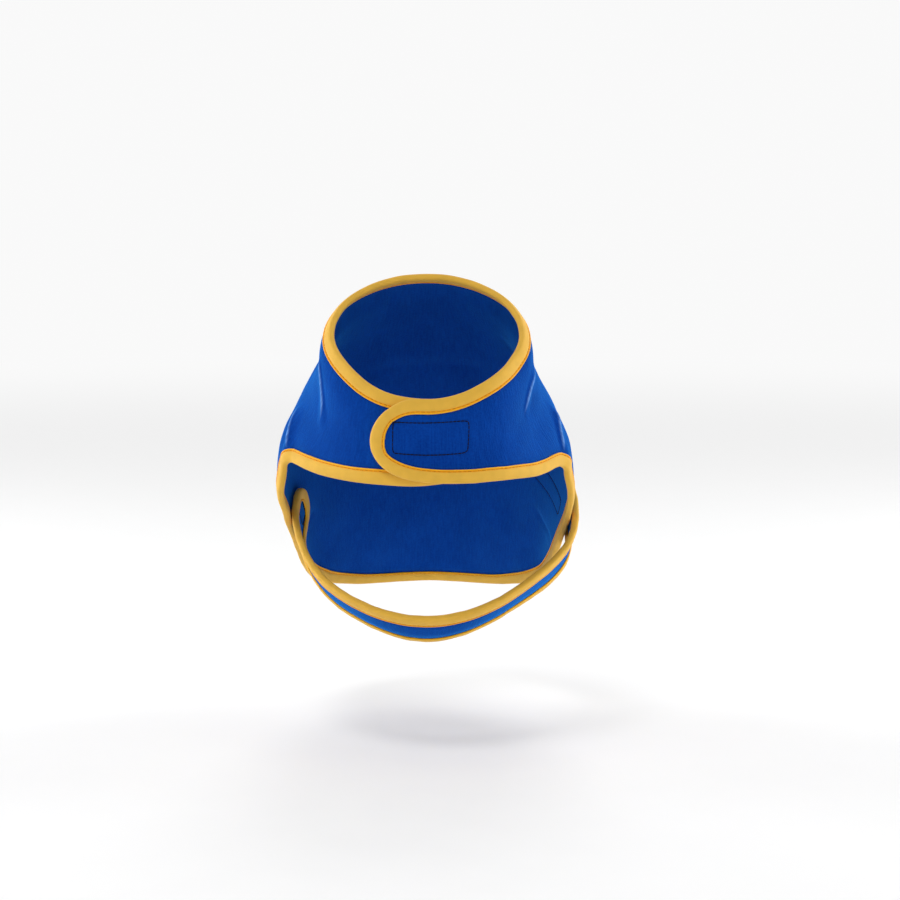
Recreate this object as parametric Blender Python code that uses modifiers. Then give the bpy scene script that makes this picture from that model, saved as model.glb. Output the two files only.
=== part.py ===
"""A small dog's jacket, worn and standing in its own shape with nothing inside it.

The coat is one cut of cloth: a back that reaches down both sides, and two chest flaps that close
over each other with a hook and loop patch. A strap under the belly is sewn inside the coat's right
side and closes on the outside of its left side. A tape binds every edge.

The frame is in metres, +Z up. The origin is the middle of the neck opening, the chest faces -Y and
the jacket's own left is +X. Every piece lies on one plain figure: a stack of egg-shaped sections,
all tilted alike, from the neck down the sloping back of a sitting dog. A place on the figure has two
coordinates: around, in degrees from the middle of the back towards the left side (180 is the middle
of the chest, and the flaps go on past it), and along, the distance down the axis from the neck.
"""

import math
from collections import namedtuple

import bmesh
import bpy
import numpy as np
from mathutils import Vector
from mathutils.geometry import delaunay_2d_cdt

# ---- cloth, tape and gaps -----------------------------------------------------------------------
CLOTH = 0.0018  # the wall of the coat and of the belly strap
PRESSED_CLOTH = 0.0012  # the same wall where the binding squeezes it
TAPE = 0.0010  # the binding's wall
BINDING_WIDTH = 0.0070  # how far the binding reaches over each face
PATCH = 0.0010  # the wall of one half of a hook and loop pair
SEAM = 0.0003  # the gap between pieces that touch

BINDING_HALF = PRESSED_CLOTH / 2 + SEAM + TAPE  # from the middle of the wall to the tape's outside
FLAP_RISE = CLOTH + 2 * PATCH + 3 * SEAM  # a closed flap's middle above the layer under it
TUCK_DEPTH = 2 * BINDING_HALF + SEAM  # the strap's middle below the coat's, where it is sewn inside
BURIED = TAPE + SEAM  # from the finished edge in to the edge of the cloth

# ---- the figure ---------------------------------------------------------------------------------
SECTION_TILT = math.radians(40)  # of each section's plane, which rises towards the back
DOWN_AXIS = np.array([0, math.sin(SECTION_TILT), -math.cos(SECTION_TILT)])
TO_BACK = np.array([0, math.cos(SECTION_TILT), math.sin(SECTION_TILT)])
TO_LEFT = np.array([1.0, 0, 0])

# back and belly are a section's reach from the axis, widest is where it is at its widest, and keel
# is the share by which it narrows towards the belly.
Section = namedtuple("Section", "along half_width back belly widest keel")
SECTIONS = (
    Section(0.000, 0.0497, 0.0450, 0.0450, 0.000, 0.10),  # the neck's edge, pulled in by its tape
    Section(0.005, 0.0530, 0.0478, 0.0515, -0.001, 0.10),
    Section(0.010, 0.0542, 0.0495, 0.0585, -0.003, 0.08),  # the short collar stands up to here
    Section(0.020, 0.0548, 0.0510, 0.0695, -0.007, 0.05),
    Section(0.030, 0.0585, 0.0522, 0.0785, -0.010, 0.00),  # the front of the chest
    Section(0.045, 0.0672, 0.0535, 0.0860, -0.015, 0.00),
    Section(0.065, 0.0750, 0.0545, 0.0920, -0.020, 0.05),
    Section(0.085, 0.0770, 0.0550, 0.0950, -0.022, 0.08),  # the shoulders, its widest place
    Section(0.110, 0.0752, 0.0550, 0.0960, -0.020, 0.12),  # under the strap's front edge
    Section(0.125, 0.0737, 0.0541, 0.0938, -0.018, 0.20),
    Section(0.140, 0.0720, 0.0530, 0.0856, -0.016, 0.28),  # the belly tucks up here
    Section(0.180, 0.0690, 0.0490, 0.0705, -0.012, 0.30),
    Section(0.245, 0.0640, 0.0420, 0.0620, -0.010, 0.20),  # the rump
)

# ---- the coat's cut -----------------------------------------------------------------------------
Edge = namedtuple("Edge", "around along")
NECKLINE = (  # from the left flap round the back to the right flap, which rises a little higher
    Edge(186.5, 0.0000),
    Edge(171.0, 0.0001),
    Edge(157.0, -0.0004),
    Edge(145.0, -0.0012),
    Edge(131.0, -0.0019),
    Edge(112.0, -0.0021),
    Edge(90.0, -0.0018),
    Edge(60.0, -0.0008),
    Edge(30.0, -0.0002),
    Edge(0.0, 0.0000),
    Edge(-30.0, -0.0004),
    Edge(-60.0, -0.0015),
    Edge(-88.0, -0.0025),
    Edge(-110.0, -0.0028),
    Edge(-128.0, -0.0021),
    Edge(-141.0, -0.0010),
    Edge(-154.0, -0.0004),
    Edge(-174.0, -0.0003),
    Edge(-193.0, 0.0000),
)
TOP_END = (  # the round end of the left flap, which lies on top, from the neck to its lower edge
    Edge(186.5, 0.0000),
    Edge(193.5, 0.0012),
    Edge(199.4, 0.0036),
    Edge(204.8, 0.0070),
    Edge(208.4, 0.0108),
    Edge(209.9, 0.0150),
    Edge(208.9, 0.0190),
    Edge(205.8, 0.0222),
    Edge(201.0, 0.0243),
    Edge(195.2, 0.0256),
    Edge(188.0, 0.0264),
)
TOP_BAND = (  # the flap's lower edge, on to the leg
    Edge(175.0, 0.0273),
    Edge(162.0, 0.0290),
    Edge(150.0, 0.0319),
    Edge(137.5, 0.0374),
    Edge(125.5, 0.0446),
    Edge(117.0, 0.0496),
    Edge(110.8, 0.0531),
    Edge(105.8, 0.0570),
    Edge(103.4, 0.0620),
    Edge(102.4, 0.0700),
)
UNDER_END = (  # the same on the right, a little lower
    Edge(193.0, 0.0000),
    Edge(200.0, 0.0014),
    Edge(206.0, 0.0040),
    Edge(211.5, 0.0082),
    Edge(214.5, 0.0124),
    Edge(215.2, 0.0162),
    Edge(213.2, 0.0208),
    Edge(209.0, 0.0244),
    Edge(203.0, 0.0268),
    Edge(194.0, 0.0281),
)
UNDER_BAND = (
    Edge(180.0, 0.0285),
    Edge(160.5, 0.0307),
    Edge(147.5, 0.0343),
    Edge(134.0, 0.0397),
    Edge(119.0, 0.0472),
    Edge(108.4, 0.0532),
    Edge(104.2, 0.0564),
    Edge(102.2, 0.0620),
    Edge(102.0, 0.0700),
)
SIDE = (  # the arch over the leg, the side's lower edge and the round of the rear hem
    Edge(100.8, 0.0810),
    Edge(98.3, 0.0970),
    Edge(93.6, 0.1250),
    Edge(89.4, 0.1490),
    Edge(83.5, 0.1730),
    Edge(72.5, 0.1980),
    Edge(54.0, 0.2210),
    Edge(30.0, 0.2370),
)
REAR = Edge(0.0, 0.2420)

FLAP_LIFTS = (108, 144)  # the left flap rises to its full height between these
NECK_STATIONS, END_STATIONS, HEM_STATIONS = 44, 11, 82
PATTERN_RADIUS = 0.062  # turns degrees into metres where a place is laid out flat
CELL = 0.0080  # the spacing of the points that fill the cloth
FINE_CELL, FINE_UP_TO = 0.0052, 0.035  # and their spacing on the collar and the flaps
CLEAR_OF_RING = 0.0040  # how far those points keep from the ring that follows the edge
INSET_STRIDE = 0.002  # how far an outline moves in at a time

# ---- the belly strap ----------------------------------------------------------------------------
STRAP_FRONT, STRAP_REAR = 0.1095, 0.1410
STRAP_FREE_END = 50.0  # on the outside of the left side
STRAP_SEWN_END = 288.0  # inside the right side
STRAP_ROUNDING = 10.5  # degrees that its round ends take
STRAP_OUT = (98.0, 136.0)  # it comes down from the coat's outside to the figure between these
STRAP_IN = (224.0, 261.0)  # and goes in under the coat's edge between these
STRAP_STATIONS, STRAP_END_STATIONS = 38, 9

# ---- hook and loop patches ----------------------------------------------------------------------
# bow is how far a patch's middle lies nearer to the neck than its ends, where it is a straight
# rectangle on cloth whose edges curve.
Patch = namedtuple("Patch", "name around along half_turn half_along bow")
CHEST_HOOK = Patch("chest_hook_patch", 177.5, 0.0132, 21.3, 0.0056, 0.0011)
CHEST_LOOP = Patch("chest_loop_patch", 177.5, 0.0135, 18.5, 0.0053, 0.0011)
BELLY_HOOK = Patch("belly_hook_patch", 72.5, 0.12525, 10.0, 0.0078, 0)
BELLY_LOOP = Patch("belly_loop_patch", 67.5, 0.12525, 14.0, 0.0078, 0)
PATCH_GRID = (10, 5)
CORNER_CUT = 0.07  # how far a patch's corners are drawn in, as a share of its size

# ---- folds --------------------------------------------------------------------------------------
# A soft ridge, or a trough where its height is negative, from one place to another. It rises over
# its first third, and its last end is lower.
Fold = namedtuple("Fold", "from_around from_along to_around to_along width height")
FOLDS = (
    Fold(88, 0.040, 100, 0.060, 0.014, 0.0016),  # the left shoulder's front ridge
    Fold(76, 0.046, 84, 0.078, 0.018, -0.0014),  # the hollow behind it
    Fold(-90, 0.041, -102, 0.059, 0.014, 0.0015),
    Fold(-75, 0.048, -85, 0.082, 0.019, -0.0015),
    Fold(-86, 0.042, -95, 0.080, 0.044, 0.0019),  # the right shoulder stands out a little more
    Fold(95, 0.012, 112, 0.020, 0.010, 0.0009),  # creases that run down from the neck
    Fold(-96, 0.011, -112, 0.026, 0.010, 0.0009),
    Fold(67, 0.156, 61, 0.196, 0.034, 0.0020),  # flutes towards the rear hem
    Fold(36, 0.176, 33, 0.216, 0.034, -0.0016),
    Fold(-70, 0.150, -64, 0.190, 0.036, 0.0020),
    Fold(-30, 0.172, -27, 0.212, 0.036, -0.0016),
    Fold(8, 0.150, 4, 0.216, 0.036, 0.0014),
)

COLOURS = {
    "royal blue cloth": (0.010, 0.060, 0.400, 1),
    "yellow tape": (0.790, 0.480, 0.045, 1),
    "navy hook and loop": (0.008, 0.020, 0.110, 1),
}


# ---- the figure's surface -----------------------------------------------------------------------
def end_kept_slopes(x, y):
    """Slopes at each point of a curve that never overshoots its points."""
    steps, rises = np.diff(x), np.diff(y) / np.diff(x)
    slopes = np.empty(len(x))
    slopes[0], slopes[-1] = rises[0], rises[-1]
    for i in range(1, len(x) - 1):
        before, after = rises[i - 1], rises[i]
        if before * after <= 0:
            slopes[i] = 0
            continue
        near, far = steps[i - 1] + 2 * steps[i], 2 * steps[i - 1] + steps[i]
        slopes[i] = (near + far) / (near / before + far / after)
    return slopes


def section_column(name, along):
    """One column of SECTIONS at any distance along, on a smooth curve through its rows."""
    x = np.array([row.along for row in SECTIONS])
    y = np.array([getattr(row, name) for row in SECTIONS])
    slopes = end_kept_slopes(x, y)
    inside = np.clip(along, x[0], x[-1])
    i = np.clip(np.searchsorted(x, inside, side="right") - 1, 0, len(x) - 2)
    step = x[i + 1] - x[i]
    t = (inside - x[i]) / step
    curve = y[i] * (1 + 2 * t) * (1 - t) ** 2 + y[i + 1] * t * t * (3 - 2 * t)
    curve = curve + step * t * (1 - t) * (slopes[i] * (1 - t) - slopes[i + 1] * t)
    return curve + (along - inside) * np.where(along < inside, slopes[0], slopes[-1])


def figure(around, along):
    """Points on the plain figure. around is in degrees and along in metres."""
    turn = np.radians(around)
    cosine, sine = np.cos(turn), np.sin(turn)
    half_width, back, belly, widest, keel = (
        section_column(name, along) for name in Section._fields[1:]
    )
    depth = np.where(cosine > 0, back - widest, belly + widest)
    narrowing = np.where(cosine < 0, 1 - keel * cosine**2, 1)
    sideways = half_width * sine * narrowing
    backwards = widest + depth * cosine
    return (
        sideways[:, None] * TO_LEFT + backwards[:, None] * TO_BACK + along[:, None] * DOWN_AXIS
    )


TURN_STEP, ALONG_STEP = 0.05, 0.00005  # for slopes: degrees and metres


def tangents(place, around, along):
    """How a surface's points move with around and with along."""
    turned = place(around + TURN_STEP, along) - place(around - TURN_STEP, along)
    slid = place(around, along + ALONG_STEP) - place(around, along - ALONG_STEP)
    return turned / (2 * TURN_STEP), slid / (2 * ALONG_STEP)


def normals(place, around, along):
    """Unit vectors that point out of a surface."""
    cross = np.cross(*tangents(place, around, along))
    return cross / np.linalg.norm(cross, axis=1)[:, None]


def ease(value, start, end):
    """0 at start, 1 at end, and a smooth step between."""
    t = np.clip((value - start) / (end - start), 0, 1)
    return t * t * (3 - 2 * t)


def fold_height(around, along):
    """The height of all folds together at a place."""
    total = np.zeros(len(around))
    for fold in FOLDS:
        metres_a_degree = math.radians(1) * section_column("half_width", along)
        run = np.array([(fold.to_around - fold.from_around), (fold.to_along - fold.from_along)])
        across = (around - fold.from_around) * metres_a_degree
        down = along - fold.from_along
        run_across = run[0] * metres_a_degree
        length_squared = run_across**2 + run[1] ** 2
        share = (across * run_across + down * run[1]) / length_squared
        held = np.clip(share, 0, 1)
        distance = np.hypot(across - held * run_across, down - held * run[1])
        near = np.clip(1 - (distance / (fold.width / 2)) ** 2, 0, 1) ** 2
        fade = ease(share, -0.2, 0.35) * (1 - 0.4 * ease(share, 0.7, 1.2))
        total += fold.height * near * fade
    return total


def coat_place(around, along):
    """The middle of the coat's wall. The left flap rises to lie over the right one."""
    rise = FLAP_RISE * ease(around, *FLAP_LIFTS) + fold_height(around, along)
    return figure(around, along) + normals(figure, around, along) * rise[:, None]


def strap_place(around, along):
    """The middle of the belly strap's wall: outside the coat on the left, inside it on the right."""
    rise = FLAP_RISE * (1 - ease(around, *STRAP_OUT)) - TUCK_DEPTH * ease(around, *STRAP_IN)
    return figure(around, along) + normals(figure, around, along) * rise[:, None]


def moved_out(place, around, along, distance):
    """Points of a surface, moved out from it."""
    return place(around, along) + distance * normals(place, around, along)


# ---- outlines -----------------------------------------------------------------------------------
def on_pattern(places):
    """Places on the figure laid out flat, in metres."""
    return places * [math.radians(1) * PATTERN_RADIUS, 1]


def smooth_through(rows):
    """Many points on one smooth curve through rows of (around, along), as two columns."""
    knots = np.array(rows, float)
    gaps = np.linalg.norm(np.diff(on_pattern(knots), axis=0), axis=1)
    chord = np.concatenate([[0], np.cumsum(gaps**0.5)])
    slopes = np.gradient(knots, chord, axis=0)
    t = np.linspace(0, chord[-1], 40 * len(rows))
    i = np.clip(np.searchsorted(chord, t, side="right") - 1, 0, len(rows) - 2)
    step = (chord[i + 1] - chord[i])[:, None]
    u = (t[:, None] - chord[i][:, None]) / step
    curve = knots[i] * (1 + 2 * u) * (1 - u) ** 2 + knots[i + 1] * u * u * (3 - 2 * u)
    return curve + step * u * (1 - u) * (slopes[i] * (1 - u) - slopes[i + 1] * u)


def spaced(place, path, count):
    """count stations, evenly spaced on the surface, from the path's start to just before its end."""
    points = place(path[:, 0], path[:, 1])
    lengths = np.linalg.norm(np.diff(points, axis=0), axis=1)
    reached = np.concatenate([[0], np.cumsum(lengths)])
    at = np.linspace(0, reached[-1], count, endpoint=False)
    return np.stack([np.interp(at, reached, path[:, k]) for k in (0, 1)], axis=1)


def coat_outline():
    """Stations round the coat's finished edge: neck, right flap's end, hem, left flap's end."""
    neck = smooth_through(NECKLINE)
    under_end = smooth_through([(-row.around, row.along) for row in UNDER_END])
    right = [(-row.around, row.along) for row in UNDER_END[-1:] + UNDER_BAND + SIDE]
    left = [(row.around, row.along) for row in TOP_END[-1:] + TOP_BAND + SIDE]
    hem = smooth_through(right + [REAR] + left[::-1])
    top_end = smooth_through(TOP_END[::-1])
    legs = ((neck, NECK_STATIONS), (under_end, END_STATIONS), (hem, HEM_STATIONS))
    legs += ((top_end, END_STATIONS),)
    return np.concatenate([spaced(coat_place, leg, count) for leg, count in legs])


def half_ellipse(centre_around, reach):
    """A round end of the strap, from its front edge to its rear edge."""
    turn = np.linspace(math.pi / 2, -math.pi / 2, 60)
    middle, half = (STRAP_FRONT + STRAP_REAR) / 2, (STRAP_REAR - STRAP_FRONT) / 2
    return np.stack([centre_around + reach * np.cos(turn), middle - half * np.sin(turn)], axis=1)


def strap_outline():
    """Stations round the belly strap's finished edge."""
    free = STRAP_FREE_END + STRAP_ROUNDING
    sewn = STRAP_SEWN_END - STRAP_ROUNDING
    turn = np.linspace(sewn, free, 300)
    front = np.stack([turn, np.full(300, STRAP_FRONT)], axis=1)
    rear = np.stack([turn[::-1], np.full(300, STRAP_REAR)], axis=1)
    free_end = half_ellipse(free, -STRAP_ROUNDING)
    sewn_end = half_ellipse(sewn, STRAP_ROUNDING)[::-1]
    legs = ((front, STRAP_STATIONS), (free_end, STRAP_END_STATIONS))
    legs += ((rear, STRAP_STATIONS), (sewn_end, STRAP_END_STATIONS))
    return np.concatenate([spaced(strap_place, leg, count) for leg, count in legs])


def inset(place, outline, distance):
    """The outline moved inwards over the surface by a distance, in short steps."""
    around, along = outline.T.copy()
    points = place(around, along)
    tangent = np.roll(points, -1, axis=0) - np.roll(points, 1, axis=0)
    inwards = np.cross(tangent, normals(place, around, along)) * turning(outline)
    strides = math.ceil(distance / INSET_STRIDE) or 1
    for _ in range(strides):
        by_turn, by_slide = tangents(place, around, along)
        out = np.cross(by_turn, by_slide)
        out = out / np.linalg.norm(out, axis=1)[:, None]
        inwards = inwards - (inwards * out).sum(1)[:, None] * out
        inwards = inwards / np.linalg.norm(inwards, axis=1)[:, None]
        a, b, c = (by_turn**2).sum(1), (by_turn * by_slide).sum(1), (by_slide**2).sum(1)
        p, q = (inwards * by_turn).sum(1), (inwards * by_slide).sum(1)
        around = around + (c * p - b * q) / (a * c - b * b) * distance / strides
        along = along + (a * q - b * p) / (a * c - b * b) * distance / strides
    return np.stack([around, along], axis=1)


def turning(outline):
    """1 where the outline runs clockwise on the pattern, and -1 where it runs the other way."""
    x, y = outline.T
    return -np.sign((x * np.roll(y, -1) - np.roll(x, -1) * y).sum())


# ---- solids -------------------------------------------------------------------------------------
def collection_of_jacket():
    jacket = bpy.data.collections.new("dog_jacket")
    bpy.context.scene.collection.children.link(jacket)
    return jacket


def material(name):
    made = bpy.data.materials.get(name) or bpy.data.materials.new(name)
    made.use_nodes = True
    shader = made.node_tree.nodes["Principled BSDF"]
    shader.inputs["Base Color"].default_value = COLOURS[name]
    shader.inputs["Roughness"].default_value = 0.9
    shader.inputs["Metallic"].default_value = 0.0
    return made


def new_object(name, mesh, finish, jacket):
    mesh.materials.append(material(finish))
    mesh.shade_smooth()
    made = bpy.data.objects.new(name, mesh)
    jacket.objects.link(made)
    return made


def solidify(made, wall):
    """Gives an open surface its wall, half on each side."""
    modifier = made.modifiers.new("wall", "SOLIDIFY")
    modifier.thickness = wall
    modifier.offset = 0
    modifier.use_even_offset = False
    return modifier


def lattice(ring):
    """Places a cell apart, in rows round the figure, that lie well inside a ring."""
    rows = []
    along = ring[:, 1].min()
    while along < ring[:, 1].max():
        cell = FINE_CELL if along < FINE_UP_TO else CELL
        along += cell
        turn_step = math.degrees(cell / section_column("half_width", np.array([along]))[0])
        first = ring[:, 0].min() + turn_step * (len(rows) % 2) / 2
        turn = np.arange(first, ring[:, 0].max(), turn_step)
        rows.append(np.stack([turn, np.full(len(turn), along)], axis=1))
    places = np.concatenate(rows)
    return places[depth_inside(on_pattern(places), on_pattern(ring)) > CLEAR_OF_RING]


def depth_inside(points, ring):
    """How deep each flat point lies inside a ring, and 0 where it lies outside."""
    run = np.roll(ring, -1, axis=0) - ring
    from_start = points[:, None, :] - ring
    share = np.clip((from_start * run).sum(2) / (run**2).sum(1), 0, 1)
    distance = np.linalg.norm(from_start - share[..., None] * run, axis=2).min(1)
    level = points[:, None, 1]
    crosses = (ring[:, 1] > level) != (ring[:, 1] + run[:, 1] > level)
    slant = run[:, 0] / np.where(crosses, run[:, 1], 1)
    to_the_right = from_start[..., 0] < from_start[..., 1] * slant
    return np.where((crosses & to_the_right).sum(1) % 2 == 1, distance, 0)


def cloth_piece(name, place, outline, jacket):
    """A wall of cloth inside an outline: rings that follow its edge, and a filled middle."""
    rings = [inset(place, outline, depth) for depth in (BURIED, BINDING_WIDTH + SEAM)]
    count = len(outline)
    filling = lattice(rings[-1])
    middle = np.concatenate([rings[-1], filling])
    loop = [(i, (i + 1) % count) for i in range(count)]
    flat = [Vector(p) for p in on_pattern(middle)]
    _, _, triangles, origin, _, _ = delaunay_2d_cdt(flat, loop, [], 1, 1e-7)
    faces = [[count + origin[v][0] for v in face] for face in triangles]
    for i, j in loop:
        both = ([i, j, count + j], [i, count + j, count + i])
        faces.extend(face[::-1] if turning(outline) > 0 else face for face in both)
    places = np.concatenate(rings + [filling])
    mesh = bpy.data.meshes.new(name)
    mesh.from_pydata(place(places[:, 0], places[:, 1]).tolist(), [], faces)
    made = new_object(name, mesh, "royal blue cloth", jacket)
    full = made.vertex_groups.new(name="full wall")
    full.add(list(range(2 * count, len(places))), 1.0, "REPLACE")
    wall = solidify(made, CLOTH)
    wall.vertex_group = full.name
    wall.thickness_vertex_group = PRESSED_CLOTH / CLOTH
    return made


# The binding's section, as depth in from the finished edge and height from the wall's middle.
Corner = namedtuple("Corner", "depth height")
INNER_HALF = PRESSED_CLOTH / 2 + SEAM
BINDING_SECTION = (
    Corner(BINDING_WIDTH, BINDING_HALF - 0.0003),
    Corner(0.0040, BINDING_HALF),
    Corner(0.0012, BINDING_HALF - 0.0001),
    Corner(0.0, BINDING_HALF * 0.45),
    Corner(0.0, -BINDING_HALF * 0.45),
    Corner(0.0012, -BINDING_HALF + 0.0001),
    Corner(0.0040, -BINDING_HALF),
    Corner(BINDING_WIDTH, -BINDING_HALF + 0.0003),
    Corner(BINDING_WIDTH, -INNER_HALF),
    Corner(TAPE, -INNER_HALF),
    Corner(TAPE, INNER_HALF),
    Corner(BINDING_WIDTH, INNER_HALF),
)


def binding(name, place, outline, jacket):
    """A tape folded over the edge of a piece, all the way round it."""
    count, corners = len(outline), len(BINDING_SECTION)
    rings = {depth: inset(place, outline, depth) for depth in {c.depth for c in BINDING_SECTION}}
    points = []
    for corner in BINDING_SECTION:
        ring = rings[corner.depth]
        points.extend(moved_out(place, ring[:, 0], ring[:, 1], corner.height).tolist())
    faces = []
    for corner in range(corners):
        outer, inner = corner, (corner + 1) % corners
        if BINDING_SECTION[outer].depth > BINDING_SECTION[inner].depth:
            outer, inner = inner, outer
        outer, inner = outer * count, inner * count
        for i in range(count):  # with the same diagonals as the cloth's rings, to lie flat on them
            j = (i + 1) % count
            faces += [outer + i, outer + j, inner + j], [outer + i, inner + j, inner + i]
    mesh = bpy.data.meshes.new(name)
    mesh.from_pydata(points, [], faces)
    whole = bmesh.new()
    whole.from_mesh(mesh)
    bmesh.ops.recalc_face_normals(whole, faces=whole.faces)
    whole.to_mesh(mesh)
    whole.free()
    return new_object(name, mesh, "yellow tape", jacket)


def patch(row, place, distance, jacket):
    """Half of a hook and loop pair: a flat grid laid on a piece, that far out from its middle."""
    grid = bmesh.new()
    bmesh.ops.create_grid(grid, x_segments=PATCH_GRID[0], y_segments=PATCH_GRID[1], size=1)
    x, y = np.array([v.co[:2] for v in grid.verts]).T
    around = row.around + row.half_turn * x * (1 - CORNER_CUT * y**6)
    along = row.along - row.bow * (1 - x**2) + row.half_along * y * (1 - 2 * CORNER_CUT * x**6)
    for vertex, point in zip(grid.verts, moved_out(place, around, along, distance)):
        vertex.co = point
    mesh = bpy.data.meshes.new(row.name)
    grid.to_mesh(mesh)
    grid.free()
    made = new_object(row.name, mesh, "navy hook and loop", jacket)
    solidify(made, PATCH)
    return made


def under_flap_place(around, along):
    """The right flap's middle, in the left flap's degrees, because the two lie over each other."""
    return coat_place(around - 360, along)


def main():
    for old in list(bpy.data.objects):
        bpy.data.objects.remove(old)
    jacket = collection_of_jacket()
    on_face = (CLOTH + PATCH) / 2 + SEAM

    coat_edge = coat_outline()
    cloth_piece("coat_body", coat_place, coat_edge, jacket)
    binding("coat_binding", coat_place, coat_edge, jacket)
    patch(CHEST_HOOK, coat_place, -on_face, jacket)
    patch(CHEST_LOOP, under_flap_place, on_face, jacket)

    strap_edge = strap_outline()
    cloth_piece("belly_strap", strap_place, strap_edge, jacket)
    binding("belly_strap_binding", strap_place, strap_edge, jacket)
    patch(BELLY_HOOK, strap_place, -on_face, jacket)
    patch(BELLY_LOOP, coat_place, on_face, jacket)


main()
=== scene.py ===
"""The looks of a small dog's jacket: blue cloth, yellow bound edges, thread, hook and loop tape.

The frame holds the jacket's solids, in metres, +Z up, with the origin in the middle of the neck
opening, the chest towards -Y and the jacket's own left at +X. Every piece lies on one plain figure.
A place on it has two coordinates: around, in degrees from the middle of the back towards the left
side, and along, the distance down the body's axis from the neck.
"""

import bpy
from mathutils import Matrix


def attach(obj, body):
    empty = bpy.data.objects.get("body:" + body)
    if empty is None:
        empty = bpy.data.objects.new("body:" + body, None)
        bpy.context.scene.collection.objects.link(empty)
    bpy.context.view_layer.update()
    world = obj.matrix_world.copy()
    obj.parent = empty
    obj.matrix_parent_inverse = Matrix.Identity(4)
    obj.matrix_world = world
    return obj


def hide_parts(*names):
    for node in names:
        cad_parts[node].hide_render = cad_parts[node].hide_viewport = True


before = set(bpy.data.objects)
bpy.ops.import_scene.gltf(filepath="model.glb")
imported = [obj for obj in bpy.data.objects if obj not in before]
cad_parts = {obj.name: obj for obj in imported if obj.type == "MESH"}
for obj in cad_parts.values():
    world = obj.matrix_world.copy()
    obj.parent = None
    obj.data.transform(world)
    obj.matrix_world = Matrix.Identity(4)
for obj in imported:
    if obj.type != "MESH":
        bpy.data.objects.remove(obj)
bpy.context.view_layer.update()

import math
from collections import namedtuple
from functools import lru_cache

import bpy
import numpy as np
from bpy.props import FloatProperty, FloatVectorProperty, PointerProperty
from mathutils import Vector, kdtree
from mathutils.geometry import delaunay_2d_cdt

bl_info = {
    "name": "Dog jacket",
    "version": (1, 0, 0),
    "blender": (4, 5, 0),
    "location": "View3D > Sidebar > Jacket",
    "description": "Dresses the dog jacket's solids as cloth, tape and thread",
    "category": "Object",
}

# ---- sizes shared with the solids ----
CLOTH, PRESSED_CLOTH, TAPE, PATCH, SEAM = 0.0018, 0.0012, 0.0010, 0.0010, 0.0003
BINDING_WIDTH = 0.0070
BINDING_HALF = PRESSED_CLOTH / 2 + SEAM + TAPE
FLAP_RISE = CLOTH + 2 * PATCH + 3 * SEAM
TUCK_DEPTH = 2 * BINDING_HALF + SEAM

SECTION_TILT = math.radians(40)
DOWN_AXIS = np.array([0, math.sin(SECTION_TILT), -math.cos(SECTION_TILT)])
TO_BACK = np.array([0, math.cos(SECTION_TILT), math.sin(SECTION_TILT)])
TO_LEFT = np.array([1.0, 0, 0])

Section = namedtuple("Section", "along half_width back belly widest keel")
SECTIONS = (
    Section(0.000, 0.0497, 0.0450, 0.0450, 0.000, 0.10),
    Section(0.005, 0.0530, 0.0478, 0.0515, -0.001, 0.10),
    Section(0.010, 0.0542, 0.0495, 0.0585, -0.003, 0.08),
    Section(0.020, 0.0548, 0.0510, 0.0695, -0.007, 0.05),
    Section(0.030, 0.0585, 0.0522, 0.0785, -0.010, 0.00),
    Section(0.045, 0.0672, 0.0535, 0.0860, -0.015, 0.00),
    Section(0.065, 0.0750, 0.0545, 0.0920, -0.020, 0.05),
    Section(0.085, 0.0770, 0.0550, 0.0950, -0.022, 0.08),
    Section(0.110, 0.0752, 0.0550, 0.0960, -0.020, 0.12),
    Section(0.125, 0.0737, 0.0541, 0.0938, -0.018, 0.20),
    Section(0.140, 0.0720, 0.0530, 0.0856, -0.016, 0.28),
    Section(0.180, 0.0690, 0.0490, 0.0705, -0.012, 0.30),
    Section(0.245, 0.0640, 0.0420, 0.0620, -0.010, 0.20),
)

Edge = namedtuple("Edge", "around along")
NECKLINE = (
    Edge(186.5, 0.0000),
    Edge(171.0, 0.0001),
    Edge(157.0, -0.0004),
    Edge(145.0, -0.0012),
    Edge(131.0, -0.0019),
    Edge(112.0, -0.0021),
    Edge(90.0, -0.0018),
    Edge(60.0, -0.0008),
    Edge(30.0, -0.0002),
    Edge(0.0, 0.0000),
    Edge(-30.0, -0.0004),
    Edge(-60.0, -0.0015),
    Edge(-88.0, -0.0025),
    Edge(-110.0, -0.0028),
    Edge(-128.0, -0.0021),
    Edge(-141.0, -0.0010),
    Edge(-154.0, -0.0004),
    Edge(-174.0, -0.0003),
    Edge(-193.0, 0.0000),
)
TOP_END = (
    Edge(186.5, 0.0000),
    Edge(193.5, 0.0012),
    Edge(199.4, 0.0036),
    Edge(204.8, 0.0070),
    Edge(208.4, 0.0108),
    Edge(209.9, 0.0150),
    Edge(208.9, 0.0190),
    Edge(205.8, 0.0222),
    Edge(201.0, 0.0243),
    Edge(195.2, 0.0256),
    Edge(188.0, 0.0264),
)
TOP_BAND = (
    Edge(175.0, 0.0273),
    Edge(162.0, 0.0290),
    Edge(150.0, 0.0319),
    Edge(137.5, 0.0374),
    Edge(125.5, 0.0446),
    Edge(117.0, 0.0496),
    Edge(110.8, 0.0531),
    Edge(105.8, 0.0570),
    Edge(103.4, 0.0620),
    Edge(102.4, 0.0700),
)
UNDER_END = (
    Edge(193.0, 0.0000),
    Edge(200.0, 0.0014),
    Edge(206.0, 0.0040),
    Edge(211.5, 0.0082),
    Edge(214.5, 0.0124),
    Edge(215.2, 0.0162),
    Edge(213.2, 0.0208),
    Edge(209.0, 0.0244),
    Edge(203.0, 0.0268),
    Edge(194.0, 0.0281),
)
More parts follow.
